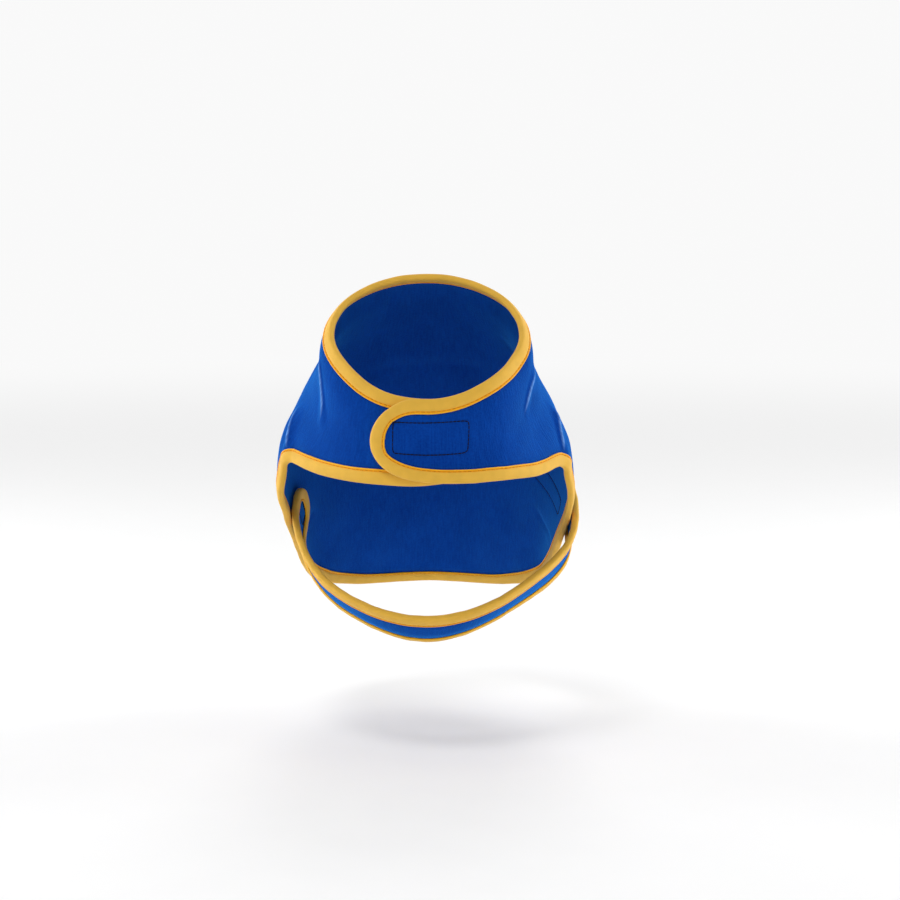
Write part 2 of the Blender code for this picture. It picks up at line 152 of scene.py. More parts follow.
UNDER_BAND = (
    Edge(180.0, 0.0285),
    Edge(160.5, 0.0307),
    Edge(147.5, 0.0343),
    Edge(134.0, 0.0397),
    Edge(119.0, 0.0472),
    Edge(108.4, 0.0532),
    Edge(104.2, 0.0564),
    Edge(102.2, 0.0620),
    Edge(102.0, 0.0700),
)
SIDE = (
    Edge(100.8, 0.0810),
    Edge(98.3, 0.0970),
    Edge(93.6, 0.1250),
    Edge(89.4, 0.1490),
    Edge(83.5, 0.1730),
    Edge(72.5, 0.1980),
    Edge(54.0, 0.2210),
    Edge(30.0, 0.2370),
)
REAR = Edge(0.0, 0.2420)
FLAP_LIFTS = (108, 144)
PATTERN_RADIUS = 0.062
INSET_STRIDE = 0.001

STRAP_FRONT, STRAP_REAR = 0.1095, 0.1410
STRAP_FREE_END, STRAP_SEWN_END, STRAP_ROUNDING = 50.0, 288.0, 10.5
STRAP_OUT, STRAP_IN = (98.0, 136.0), (224.0, 261.0)

Patch = namedtuple("Patch", "name around along half_turn half_along bow")
CHEST_HOOK = Patch("chest_hook_patch", 177.5, 0.0132, 21.3, 0.0056, 0.0011)
CHEST_LOOP = Patch("chest_loop_patch", 177.5, 0.0135, 18.5, 0.0053, 0.0011)
BELLY_HOOK = Patch("belly_hook_patch", 72.5, 0.12525, 10.0, 0.0078, 0)
BELLY_LOOP = Patch("belly_loop_patch", 67.5, 0.12525, 14.0, 0.0078, 0)

# A soft ridge, or a trough where its height is negative, from one place to another.
Fold = namedtuple("Fold", "from_around from_along to_around to_along width height")
FOLDS = (
    # the shoulders: a ridge where the front turns to the side, and a hollow behind it
    Fold(88, 0.040, 100, 0.060, 0.014, 0.0016),
    Fold(76, 0.046, 84, 0.078, 0.018, -0.0014),
    Fold(-90, 0.041, -102, 0.059, 0.014, 0.0015),
    Fold(-75, 0.048, -85, 0.082, 0.019, -0.0015),
    Fold(-86, 0.042, -95, 0.080, 0.044, 0.0019),
    # creases that run down from the neck
    Fold(95, 0.012, 112, 0.020, 0.010, 0.0009),
    Fold(-96, 0.011, -112, 0.026, 0.010, 0.0009),
    # flutes towards the rear hem
    Fold(67, 0.156, 61, 0.196, 0.034, 0.0020),
    Fold(36, 0.176, 33, 0.216, 0.034, -0.0016),
    Fold(-70, 0.150, -64, 0.190, 0.036, 0.0020),
    Fold(-30, 0.172, -27, 0.212, 0.036, -0.0016),
    Fold(8, 0.150, 4, 0.216, 0.036, 0.0014),
)

# ---- sizes of the scene alone ----
# A sag of the cloth behind the left shoulder, which the solids don't have.
SAGS = (Fold(54, 0.026, 71, 0.056, 0.044, -0.0034),)

# The shares of a fold's length between which it rises and between which it sinks, and the share
# of its height that it loses there.
FOLD_RISE, FOLD_SINK, FOLD_SUNK = (-0.2, 0.35), (0.7, 1.2), 0.4

# A sharper crease through several places, each (around, along), fading at both ends. light is how
# strongly a painted highlight lies along its crest, 0 where it isn't given.
Crease = namedtuple("Crease", "route width height light", defaults=(0.0,))
CREASES = (
    # the shoulders' pinched ridges and the furrow behind each
    Crease(((87, 0.0410), (94, 0.0454), (98.5, 0.0512), (100.5, 0.0548)), 0.0060, 0.0011, 1.0),
    Crease(((82, 0.0450), (88, 0.0490), (92.5, 0.0540), (95, 0.0600)), 0.0090, -0.0007),
    Crease(((-86, 0.0415), (-93.5, 0.0465), (-98, 0.0515), (-99.6, 0.0545)), 0.0060, 0.0010, 1.0),
    Crease(((-80, 0.0470), (-87.5, 0.0510), (-92.5, 0.0570), (-95, 0.0620)), 0.0090, -0.0006),
    # fine ones that run down from the neck
    Crease(
        ((92, 0.0110), (98.8, 0.0142), (105.3, 0.0152),
         (108.3, 0.0163), (112.6, 0.0184), (117, 0.0215)),
        0.0050, 0.0008, 1.0,
    ),
    Crease(
        ((-92, 0.0085), (-101, 0.0115), (-105.4, 0.0156),
         (-108.5, 0.0200), (-110.2, 0.0237), (-111.5, 0.0280)),
        0.0050, 0.0009, 1.0,
    ),
    # where the neck's tape draws the cloth in, on the back
    Crease(((62, 0.0090), (70, 0.0240), (73, 0.0400)), 0.0100, 0.0008),
    Crease(((-58, 0.0090), (-67, 0.0260), (-72, 0.0440)), 0.0100, 0.0009),
    Crease(((25, 0.0090), (22, 0.0220), (24, 0.0330)), 0.0090, 0.0005),
    Crease(((-18, 0.0090), (-22, 0.0250), (-20, 0.0380)), 0.0100, 0.0006),
    # where the strap pulls at the sides
    Crease(((58, 0.1000), (70, 0.0900), (82, 0.0720)), 0.0130, 0.0009),
    Crease(((56, 0.1520), (66, 0.1600), (80, 0.1590)), 0.0120, 0.0008),
    Crease(((-64, 0.1050), (-74, 0.0930), (-84, 0.0760)), 0.0130, 0.0009),
    Crease(((-62, 0.1480), (-70, 0.1560), (-83, 0.1570)), 0.0120, 0.0008),
    # shallow ones across the back
    Crease(((-34, 0.0700), (-12, 0.0760), (14, 0.0740), (38, 0.0680)), 0.0200, 0.0008),
    Crease(((-24, 0.1180), (2, 0.1230), (30, 0.1200)), 0.0220, 0.0007),
)
CREASE_FADE = 0.3  # the share of a crease's length that it takes to rise
CREASE_LEGS = 3  # straight legs of a crease for each place on its route
CREST_HALF_WIDTH = 0.00045  # of the painted highlight line along a crest
CREST_ROWS = (-0.0010, -0.0004, 0.0, 0.0004, 0.0010)  # how far off a crest the cloth has points
CREST_CLEARANCE = 0.0008  # between those rows and the cloth's other points
RING_CLEARANCE = 0.6  # between the cloth's points and its innermost ring, in cells

JOIN_EASE = 0.0014  # how far the corners are rounded where two legs of an outline meet

# Waves that the binding's stitching puts into an edge: how many go round it, height and phase.
Wave = namedtuple("Wave", "cycles height phase")
EDGE_WAVES = (Wave(89, 0.00003, 0.3), Wave(61, 0.00005, 2.1), Wave(37, 0.00008, 4.0))
EDGE_WAVES_FADE = 0.006

# How wide the coat's tape lies at places round its edge.
TapeWidth = namedtuple("TapeWidth", "around along width")
COAT_TAPE_WIDTHS = (
    TapeWidth(150.0, -0.0008, 0.0074),
    TapeWidth(186.5, 0.0000, 0.0081),
    TapeWidth(195.0, 0.0016, 0.0077),
    TapeWidth(203.5, 0.0060, 0.0069),
    TapeWidth(208.0, 0.0104, 0.0077),
    TapeWidth(209.9, 0.0150, 0.0082),
    TapeWidth(208.9, 0.0190, 0.0078),
    TapeWidth(205.0, 0.0226, 0.0069),
    TapeWidth(196.0, 0.0255, 0.0073),
    TapeWidth(175.0, 0.0273, 0.0070),
    TapeWidth(100.0, 0.0850, 0.0070),
    TapeWidth(0.0, 0.2420, 0.0072),
    TapeWidth(-104.2, 0.0564, 0.0071),
    TapeWidth(-119.0, 0.0472, 0.0077),
    TapeWidth(-180.0, 0.0285, 0.0078),
    TapeWidth(-213.2, 0.0208, 0.0070),
    TapeWidth(-150.0, -0.0006, 0.0073),
    TapeWidth(0.0, 0.0000, 0.0070),
)

# The rectangles of stitches on the outside: the flap's, by the upper and lower corners of its two
# ends, and the one that holds the strap's sewn end.
FLAP_BOX = np.array([[(156.1, 0.0086), (158.1, 0.0186)], [(197.8, 0.0083), (197.0, 0.0179)]])
FLAP_BOX_BOW = 0.0009
STRAP_BOX = Patch("strap_box", 277.6, 0.12525, 4.1, 0.0074, 0)
STITCHES_IN = 0.0012  # a patch's stitches from its edge

# How deep stitches pull the cloth in, and how wide; how deep they lie in a patch and a groove.
STITCH_DENT, STITCH_DENT_WIDTH = 0.00035, 0.0007
SUNK_IN_PATCH, SUNK_IN_GROOVE = 0.0001, 0.00006
# How deep each stitch pulls its binding's groove in, and how wide.
GROOVE_DENT, GROOVE_DENT_WIDTH = 0.00012, 0.0007
# A stitch's middle stands this far up, in threads; the lower the power, the blunter its ends.
STITCH_LIFT, STITCH_BLUNTNESS = 0.25, 0.3


# ---- sizes and colours that a user would change ----
def length(name, description, default):
    return FloatProperty(name=name, description=description, default=default, unit="LENGTH", precision=5)


def colour(name, description, default):
    return FloatVectorProperty(
        name=name, description=description, default=default, subtype="COLOR", size=3, min=0, max=1
    )


class JacketSizes(bpy.types.PropertyGroup):
    cloth_cell: length("Cloth cell", "Spacing of the cloth's points", 0.0013)
    tape_cell: length("Tape cell", "Spacing of the points along a binding", 0.0009)
    stitch: length("Stitch", "Length of one stitch", 0.0020)
    gold_gap: length("Gold gap", "Gap between two stitches of the bindings", 0.0006)
    navy_gap: length("Navy gap", "Gap between two stitches of the patches", 0.00002)
    gold_thread: length("Gold thread", "Thickness of the bindings' thread", 0.00034)
    navy_thread: length("Navy thread", "Thickness of the patches' thread", 0.00064)
    floor: length("Floor", "Height of the floor", -0.2275)


class JacketColours(bpy.types.PropertyGroup):
    cloth: colour("Cloth", "The coat's and the strap's blue", (0.0008, 0.030, 0.232))
    cloth_raised: colour("Raised nap", "The blue where the nap stands up", (0.0030, 0.060, 0.385))
    # A paler blue painted along a crease's crest, as a painted highlight.
    cloth_crest_highlight: colour("Crest", "The blue along the crest of a crease", (0.150, 0.330, 0.740))
    tape: colour("Tape", "The binding's broad face", (0.79, 0.455, 0.055))
    # A brighter yellow painted on the binding's raised turned edge, as a painted highlight.
    tape_edge: colour("Tape edge", "The binding's turned edge", (0.98, 0.48, 0.012))
    # A darker, more orange yellow painted in the binding's sewn groove, as painted shade.
    tape_groove: colour("Tape groove", "The binding's sewn groove", (0.88, 0.36, 0.004))
    gold_thread: colour("Gold thread", "The bindings' thread", (0.68, 0.27, 0.008))
    navy_thread: colour("Navy thread", "The patches' thread", (0.0016, 0.0032, 0.014))
    navy_tape: colour("Navy tape", "Hook and loop tape", (0.008, 0.020, 0.110))
    floor: colour("Floor", "The floor", (0.93, 0.93, 0.93))
    backdrop: colour("Backdrop", "The air behind the floor", (1.0, 1.0, 1.0))


# ---- surfaces ----
def kept_slopes(x, y):
    """Slopes at each point of a curve that never overshoots its points."""
    steps, rises = np.diff(x), np.diff(y) / np.diff(x)
    slopes = np.empty(len(x))
    slopes[0], slopes[-1] = rises[0], rises[-1]
    for i in range(1, len(x) - 1):
        before, after = rises[i - 1], rises[i]
        if before * after <= 0:
            slopes[i] = 0
            continue
        near, far = steps[i - 1] + 2 * steps[i], 2 * steps[i - 1] + steps[i]
        slopes[i] = (near + far) / (near / before + far / after)
    return slopes


def cubic(knots, slopes, i, step, t):
    """A smooth curve from knot i to the next, at a share t of the step between them."""
    curve = knots[i] * (1 + 2 * t) * (1 - t) ** 2 + knots[i + 1] * t * t * (3 - 2 * t)
    return curve + step * t * (1 - t) * (slopes[i] * (1 - t) - slopes[i + 1] * t)


def section_column(name, along):
    """One column of SECTIONS at any distance along, on a smooth curve through its rows."""
    x = np.array([row.along for row in SECTIONS])
    y = np.array([getattr(row, name) for row in SECTIONS])
    slopes = kept_slopes(x, y)
    inside = np.clip(along, x[0], x[-1])
    i = np.clip(np.searchsorted(x, inside, side="right") - 1, 0, len(x) - 2)
    step = x[i + 1] - x[i]
    curve = cubic(y, slopes, i, step, (inside - x[i]) / step)
    return curve + (along - inside) * np.where(along < inside, slopes[0], slopes[-1])


def figure(around, along):
    """Points on the plain figure."""
    turn = np.radians(around)
    cosine, sine = np.cos(turn), np.sin(turn)
    half_width, back, belly, widest, keel = (
        section_column(name, along) for name in Section._fields[1:]
    )
    depth = np.where(cosine > 0, back - widest, belly + widest)
    narrowing = np.where(cosine < 0, 1 - keel * cosine**2, 1)
    sideways = half_width * sine * narrowing
    backwards = widest + depth * cosine
    return (
        sideways[:, None] * TO_LEFT + backwards[:, None] * TO_BACK + along[:, None] * DOWN_AXIS
    )


TURN_STEP, ALONG_STEP = 0.05, 0.00005  # for slopes, in degrees and metres


def tangents(place, around, along):
    """How a surface's points move with around and with along."""
    turned = place(around + TURN_STEP, along) - place(around - TURN_STEP, along)
    slid = place(around, along + ALONG_STEP) - place(around, along - ALONG_STEP)
    return turned / (2 * TURN_STEP), slid / (2 * ALONG_STEP)


def normals(place, around, along):
    """Unit vectors that point out of a surface."""
    cross = np.cross(*tangents(place, around, along))
    return cross / np.linalg.norm(cross, axis=1)[:, None]


def ease(value, start, end):
    """0 at start, 1 at end, and a smooth step between."""
    t = np.clip((value - start) / (end - start), 0, 1)
    return t * t * (3 - 2 * t)


def away_from(route, around, along):
    """The distance from each place to a route, and the share of the route at its nearest point."""
    metres_a_degree = math.radians(1) * section_column("half_width", along)
    nearest = np.full(len(around), np.inf)
    share = np.zeros(len(around))
    lengths = [math.dist(*on_pattern(np.array(ends, float))) for ends in zip(route, route[1:])]
    for k, (start, end) in enumerate(zip(route, route[1:])):
        across, down = (around - start[0]) * metres_a_degree, along - start[1]
        run_across, run_down = (end[0] - start[0]) * metres_a_degree, end[1] - start[1]
        free = (across * run_across + down * run_down) / (run_across**2 + run_down**2)
        held = np.clip(free, 0, 1)
        distance = np.hypot(across - held * run_across, down - held * run_down)
        low, high = (-1 if k == 0 else 0), (2 if k == len(lengths) - 1 else 1)
        reached_share = (sum(lengths[:k]) + lengths[k] * np.clip(free, low, high)) / sum(lengths)
        share = np.where(distance < nearest, reached_share, share)
        nearest = np.minimum(distance, nearest)
    return nearest, share


def fold_height(around, along):
    """The height of all folds together at a place."""
    total = np.zeros(len(around))
    for fold in FOLDS + SAGS:
        route = ((fold.from_around, fold.from_along), (fold.to_around, fold.to_along))
        distance, share = away_from(route, around, along)
        near = np.clip(1 - (2 * distance / fold.width) ** 2, 0, 1) ** 2
        sunk = 1 - FOLD_SUNK * ease(share, *FOLD_SINK)
        total += fold.height * near * ease(share, *FOLD_RISE) * sunk
    return total


@lru_cache(maxsize=None)
def short_legs(route):
    """A crease's route on a smooth curve, as short straight legs."""
    curve = smooth_through(route)
    return curve[np.linspace(0, len(curve) - 1, CREASE_LEGS * len(route)).round().astype(int)]


def creases_near(around, along):
    """Each crease, the distance from each place to it, and how far it has risen there, 0 to 1."""
    for crease in CREASES:
        distance, share = away_from(short_legs(crease.route), around, along)
        risen = ease(share, 0, CREASE_FADE) * (1 - ease(share, 1 - CREASE_FADE, 1))
        yield crease, distance, risen


def crease_height(around, along):
    """The height of all creases together: each a narrow crest on a softer foot."""
    total = np.zeros(len(around))
    for crease, distance, risen in creases_near(around, along):
        near = np.clip(1 - 2 * distance / crease.width, 0, 1)
        total += crease.height * near**2 * (2 - near) * risen
    return total


def crest_highlight(around, along):
    """How strongly the painted highlight shows along the creases' crests, from 0 to 1."""
    total = np.zeros(len(around))
    for crease, distance, risen in creases_near(around, along):
        total += crease.light * np.exp(-((distance / CREST_HALF_WIDTH) ** 2)) * risen
    return total


def coat_place(around, along):
    """The middle of the coat's wall. The left flap rises to lie over the right one."""
    folds = fold_height(around, along) + crease_height(around, along)
    rise = FLAP_RISE * ease(around, *FLAP_LIFTS) + folds
    return figure(around, along) + normals(figure, around, along) * rise[:, None]


def strap_place(around, along):
    """The middle of the belly strap's wall."""
    rise = FLAP_RISE * (1 - ease(around, *STRAP_OUT)) - TUCK_DEPTH * ease(around, *STRAP_IN)
    return figure(around, along) + normals(figure, around, along) * rise[:, None]


def under_flap_place(around, along):
    """The right flap's middle, in the left flap's degrees, where the two lie over each other."""
    return coat_place(around - 360, along)


def moved_out(place, places, distance):
    """Points of a surface, each moved out from it by its distance."""
    around, along = places.T
    return place(around, along) + normals(place, around, along) * np.reshape(distance, (-1, 1))


# ---- outlines ----
def on_pattern(places):
    """Places on the figure laid out flat, in metres."""
    return places * [math.radians(1) * PATTERN_RADIUS, 1]


def off_pattern(steps):
    """Flat steps in metres, as steps of (around, along)."""
    return steps / [math.radians(1) * PATTERN_RADIUS, 1]


def summed(steps):
    """The distance reached at the start of several steps and after each."""
    return np.concatenate([[0], np.cumsum(steps)])


def at_distances(at, reached_at, path):
    """A path's points at some distances along it, where reached_at has those of its own."""
    return np.stack([np.interp(at, reached_at, column) for column in path.T], axis=-1)


CURVE_POINTS = 120  # of a smooth curve, for each of its rows


def smooth_through(rows):
    """Many points on one smooth curve through rows of (around, along), as two columns."""
    knots = np.array(rows, float)
    gaps = np.linalg.norm(np.diff(on_pattern(knots), axis=0), axis=1)
    chord = summed(gaps**0.5)
    slopes = np.gradient(knots, chord, axis=0)
    t = np.linspace(0, chord[-1], CURVE_POINTS * len(rows))
    i = np.clip(np.searchsorted(chord, t, side="right") - 1, 0, len(rows) - 2)
    step = (chord[i + 1] - chord[i])[:, None]
    return cubic(knots, slopes, i, step, (t[:, None] - chord[i][:, None]) / step)


def reached(place, path):
    """The distance along a path on a surface, at each of its places."""
    return summed(np.linalg.norm(np.diff(place(*path.T), axis=0), axis=1))


def spaced(place, path, cell):
    """Evenly spaced stations from a path's start to just before its end."""
    distance = reached(place, path)
    at = np.linspace(0, distance[-1], round(distance[-1] / cell), endpoint=False)
    return at_distances(at, distance, path)


def coat_outline():
    """The coat's finished edge: neck, right flap's end, hem, left flap's end."""
    neck = smooth_through(NECKLINE)
    under_end = smooth_through([(-row.around, row.along) for row in UNDER_END])
    right = [(-row.around, row.along) for row in UNDER_END[-1:] + UNDER_BAND + SIDE]
    left = [(row.around, row.along) for row in TOP_END[-1:] + TOP_BAND + SIDE]
    hem = smooth_through(right + [REAR] + left[::-1])
    top_end = smooth_through(TOP_END[::-1])
    return np.concatenate([neck, under_end[1:], hem[1:], top_end[1:]])


def half_ellipse(centre_around, reach):
    """A round end of the strap, from its front edge to its rear edge."""
    turn = np.linspace(math.pi / 2, -math.pi / 2, 60)
    middle, half = (STRAP_FRONT + STRAP_REAR) / 2, (STRAP_REAR - STRAP_FRONT) / 2
    return np.stack([centre_around + reach * np.cos(turn), middle - half * np.sin(turn)], axis=1)


def strap_outline():
    """The belly strap's finished edge."""
    free = STRAP_FREE_END + STRAP_ROUNDING
    sewn = STRAP_SEWN_END - STRAP_ROUNDING
    turn = np.linspace(sewn, free, 300)
    front = np.stack([turn, np.full(300, STRAP_FRONT)], axis=1)
    rear = np.stack([turn[::-1], np.full(300, STRAP_REAR)], axis=1)
    free_end = half_ellipse(free, -STRAP_ROUNDING)
    sewn_end = half_ellipse(sewn, STRAP_ROUNDING)[::-1]
    return np.concatenate([front, free_end[1:], rear[1:], sewn_end[1:]])


def stations_round(place, outline, cell):
    """Evenly spaced stations round a closed outline, its corners eased."""
    stations = spaced(place, outline, cell)
    reach = math.ceil(3 * JOIN_EASE / cell)
    offsets = np.arange(-reach, reach + 1)
    weights = np.exp(-0.5 * (offsets * cell / JOIN_EASE) ** 2)
    rolled = (w * np.roll(stations, k, axis=0) for k, w in zip(offsets, weights / weights.sum()))
    return sum(rolled)


def turning(outline):
    """1 where the outline runs clockwise on the pattern, and -1 where it runs the other way."""
    x, y = outline.T
    return -np.sign((x * np.roll(y, -1) - np.roll(x, -1) * y).sum())


def insets(place, outline, depths, scale):
    """The outline moved inwards over the surface by each depth, times scale, as a list of rings."""
    around, along = outline.T.copy()
    points = place(around, along)
    tangent = np.roll(points, -1, axis=0) - np.roll(points, 1, axis=0)
    inwards = np.cross(tangent, normals(place, around, along)) * turning(outline)
    rings, reached_depth = {}, 0.0
    for depth in sorted(set(depths)):
        strides = math.ceil((depth - reached_depth) / INSET_STRIDE)
        stride = (depth - reached_depth) / max(strides, 1)
        for _ in range(strides):
            by_turn, by_slide = tangents(place, around, along)
            out = np.cross(by_turn, by_slide)
            out = out / np.linalg.norm(out, axis=1)[:, None]
            inwards = inwards - (inwards * out).sum(1)[:, None] * out
            inwards = inwards / np.linalg.norm(inwards, axis=1)[:, None]
            a, b, c = (by_turn**2).sum(1), (by_turn * by_slide).sum(1), (by_slide**2).sum(1)
            p, q = (inwards * by_turn).sum(1), (inwards * by_slide).sum(1)
            around = around + (c * p - b * q) / (a * c - b * b) * stride * scale
            along = along + (a * q - b * p) / (a * c - b * b) * stride * scale
        rings[depth] = np.stack([around, along], axis=1)
        reached_depth = depth
    return [rings[depth] for depth in depths]


def edge_wave(share, depth):
    """How far stitching pushes the cloth out, at a share of the way round and a depth from it."""
    total = sum(w.height * np.sin(2 * math.pi * w.cycles * share + w.phase) for w in EDGE_WAVES)
    return total * np.exp(-np.asarray(depth) / EDGE_WAVES_FADE)


def width_scale(stations, rows):
    """How wide a tape lies at each station, as a share of BINDING_WIDTH."""
    if not rows:
        return np.ones(len(stations))
    flat = on_pattern(stations)
    at = []
    for row in rows:
        away = np.linalg.norm(flat - on_pattern(np.array([row.around, row.along])), axis=1)
        at.append(away.argmin() / len(stations))
    order = np.argsort(at)
    known = np.array([row.width for row in rows])[order] / BINDING_WIDTH
    every = np.arange(len(stations)) / len(stations)
    return np.interp(every, np.array(at)[order], known, period=1)


# ---- meshes ----
def new_piece(name, points, faces, uvs, finish):
    """A mesh object from points and faces, with a texture place for each corner of each face."""
    mesh = bpy.data.meshes.new(name)
    mesh.from_pydata(np.asarray(points).tolist(), [], faces)
    layer = mesh.uv_layers.new(name="pattern")
    layer.data.foreach_set("uv", np.asarray(uvs, np.float32).ravel())
    mesh.shade_smooth()
    mesh.materials.append(finish)
    piece = bpy.data.objects.new(name, mesh)
    bpy.context.scene.collection.objects.link(piece)
    return piece


def walled_piece(name, places, walls, faces, rim, finish):
    """A piece with an outer and an inner wall over the same places, joined by a rim of faces."""
    back = [[v + len(places) for v in face[::-1]] for face in faces]
    every = faces + back + rim
    uvs = np.concatenate([on_pattern(places)] * 2)[np.concatenate(every)]
    return new_piece(name, np.concatenate(walls), every, uvs, finish)


def facing(faces, flip):
    """Faces, turned over where flip says so."""
    return [face[::-1] for face in faces] if flip else faces


def placed(piece, node):
    """Puts a piece on the jacket's body, in the place of its solid."""
    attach(piece, "root")
    if node:
        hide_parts(node)
    return piece


def nearest(points, others):
    """The distance from each point to the nearest of the others, and which one that is."""
    tree = kdtree.KDTree(len(others))
    spots, other_spots = (np.pad(p, ((0, 0), (0, 3 - p.shape[1]))) for p in (points, others))
    for i, spot in enumerate(other_spots):
        tree.insert(spot, i)
    tree.balance()
    found = [tree.find(spot) for spot in spots]
    return np.array([row[2] for row in found]), np.array([row[1] for row in found])


def depth_inside(points, ring):
    """How deep each flat point lies inside a ring, and 0 where it lies outside."""
    distance, _ = nearest(points, ring)
    run = np.roll(ring, -1, axis=0) - ring
    crossings = np.zeros(len(points), int)
    for start, step in zip(ring, run):
        crosses = (start[1] > points[:, 1]) != (start[1] + step[1] > points[:, 1])
        slant = step[0] / (step[1] or 1)
        to_the_right = points[:, 0] - start[0] < (points[:, 1] - start[1]) * slant
        crossings += crosses & to_the_right
    return np.where(crossings % 2 == 1, distance, 0)


def well_inside(places, ring, cell):
    """The places that lie inside a ring, clear of it."""
    depth = depth_inside(on_pattern(places), on_pattern(ring))
    return places[depth > RING_CLEARANCE * cell]


def lattice(ring, cell):
    """Places a cell apart, in rows round the figure, that lie well inside a ring."""
    rows = []
    along = ring[:, 1].min()
    while along < ring[:, 1].max():
        along += cell * math.sqrt(3) / 2
        turn_step = math.degrees(cell / section_column("half_width", np.array([along]))[0])
        first = ring[:, 0].min() + turn_step * (len(rows) % 2) / 2
        turn = np.arange(first, ring[:, 0].max(), turn_step)
        rows.append(np.stack([turn, np.full(len(turn), along)], axis=1))
    return well_inside(np.concatenate(rows), ring, cell)


def crest_places(ring, cell):
    """Close rows of places on and beside each crest with a painted highlight, where it lies inside a
    ring.
    """
    rows = []
    for crease in CREASES:
        if crease.light:
            path = spaced(figure, smooth_through(crease.route), cell)
            step = np.gradient(on_pattern(path), axis=0)
            across = np.stack([-step[:, 1], step[:, 0]], axis=1)
            across /= np.linalg.norm(across, axis=1)[:, None]
            rows += [path + off_pattern(across * offset) for offset in CREST_ROWS]
    return well_inside(np.concatenate(rows), ring, cell)


def stitch_dents(places, lines):
    """How deep lines of stitches pull the cloth in at each place."""
    away, _ = nearest(on_pattern(places), on_pattern(np.concatenate(lines)))
    return STITCH_DENT * np.exp(-((away / STITCH_DENT_WIDTH) ** 2))


CLOTH_RINGS = (0.0013, 0.0035, 0.0060, 0.0072, 0.0084)  # depths in from the finished edge
WALL_SWELLS = (0.0068, 0.0098)  # the depths between which the wall grows to its full thickness


def half_wall(depth):
    """Half of the cloth's wall: squeezed under the binding, and full inside it."""
    return PRESSED_CLOTH / 2 + (CLOTH - PRESSED_CLOTH) / 2 * ease(depth, *WALL_SWELLS)


def cloth_piece(name, place, outline, rows, sewn, finish, sizes):
    """A wall of cloth inside an outline, pulled in along the lines sewn through it."""
    stations = stations_round(place, outline, sizes.cloth_cell)
    scale = width_scale(stations, rows)
    rings = insets(place, stations, CLOTH_RINGS, scale)
    filling = lattice(rings[-1], sizes.cloth_cell)
    if place is coat_place:
        crests = crest_places(rings[-1], sizes.cloth_cell / 2)
        away, _ = nearest(on_pattern(filling), on_pattern(crests))
        filling = np.concatenate([filling[away > CREST_CLEARANCE], crests])
    count, flip = len(stations), turning(outline) > 0
    loop = [(i, (i + 1) % count) for i in range(count)]
    flat = [Vector(p) for p in on_pattern(np.concatenate([rings[-1], filling]))]
    _, _, triangles, origin, _, _ = delaunay_2d_cdt(flat, loop, [], 1, 1e-8)
    first = (len(rings) - 1) * count
    faces = [[first + origin[v][0] for v in face] for face in triangles]
    for start in range(0, first, count):
        for i, j in loop:
            a, b = start + i, start + j
            faces += facing([[a, b, b + count], [a, b + count, a + count]], flip)
    places = np.concatenate([*rings, filling])
    total, share = len(places), np.arange(count) / count
    distance, station = nearest(place(*filling.T), place(*stations.T))
    shares = np.concatenate([share] * len(rings) + [share[station]])
    depths = np.concatenate([np.repeat(CLOTH_RINGS, count), distance / scale[station]])
    wave, half, dent = edge_wave(shares, depths), half_wall(depths), stitch_dents(places, sewn)
    walls = [moved_out(place, places, wave + side * (half - dent)) for side in (1, -1)]
    rim = facing([[i, i + total, j + total, j] for i, j in loop], flip)
    piece = walled_piece(name, places, walls, faces, rim, finish)
    # The strength of the painted highlight along the creases' crests, kept on the points as the crest
    # attribute.
    pale = crest_highlight(*places.T) if place is coat_place else np.zeros(total)
    attribute = piece.data.attributes.new("crest", "FLOAT", "POINT")
    attribute.data.foreach_set("value", np.concatenate([pale, np.zeros(total)]))
    return piece


# The tape's section, as depth in from the finished edge and height from the wall's middle, from its
# turned edge on one face to the fold at the finished edge. The other face is the same.
Corner = namedtuple("Corner", "depth height")
TAPE_FACE = (
    Corner(0.00685, 0.00074),
    Corner(0.00704, 0.00100),
    Corner(0.00702, 0.00132),
    Corner(0.00684, 0.00156),
    Corner(0.00662, 0.00170),
    Corner(0.00645, 0.00161),
    Corner(0.00632, 0.00146),
    Corner(0.00618, 0.00134),
    Corner(0.00600, 0.00129),
    Corner(0.00580, 0.00136),
    Corner(0.00550, 0.00156),
    Corner(0.00500, 0.00173),
    Corner(0.00415, 0.00185),
    Corner(0.00320, 0.00190),
    Corner(0.00240, 0.00190),
    Corner(0.00165, 0.00184),
    Corner(0.00100, 0.00170),
    Corner(0.00050, 0.00144),
    Corner(0.00016, 0.00104),
    Corner(0.00002, 0.00055),
)
TAPE_INSIDE = (Corner(0.0040, 0.00070), Corner(0.0011, 0.00070))
GROOVE_DEPTH, GROOVE_HEIGHT = 0.00600, 0.00129


def tape_section():
    """The whole closed section: one face, the fold, the other face and the hollow between them."""
    face, inside, across = np.array(TAPE_FACE), np.array(TAPE_INSIDE), [1, -1]
    return np.concatenate([face, face[::-1] * across, inside * across, inside[::-1]])


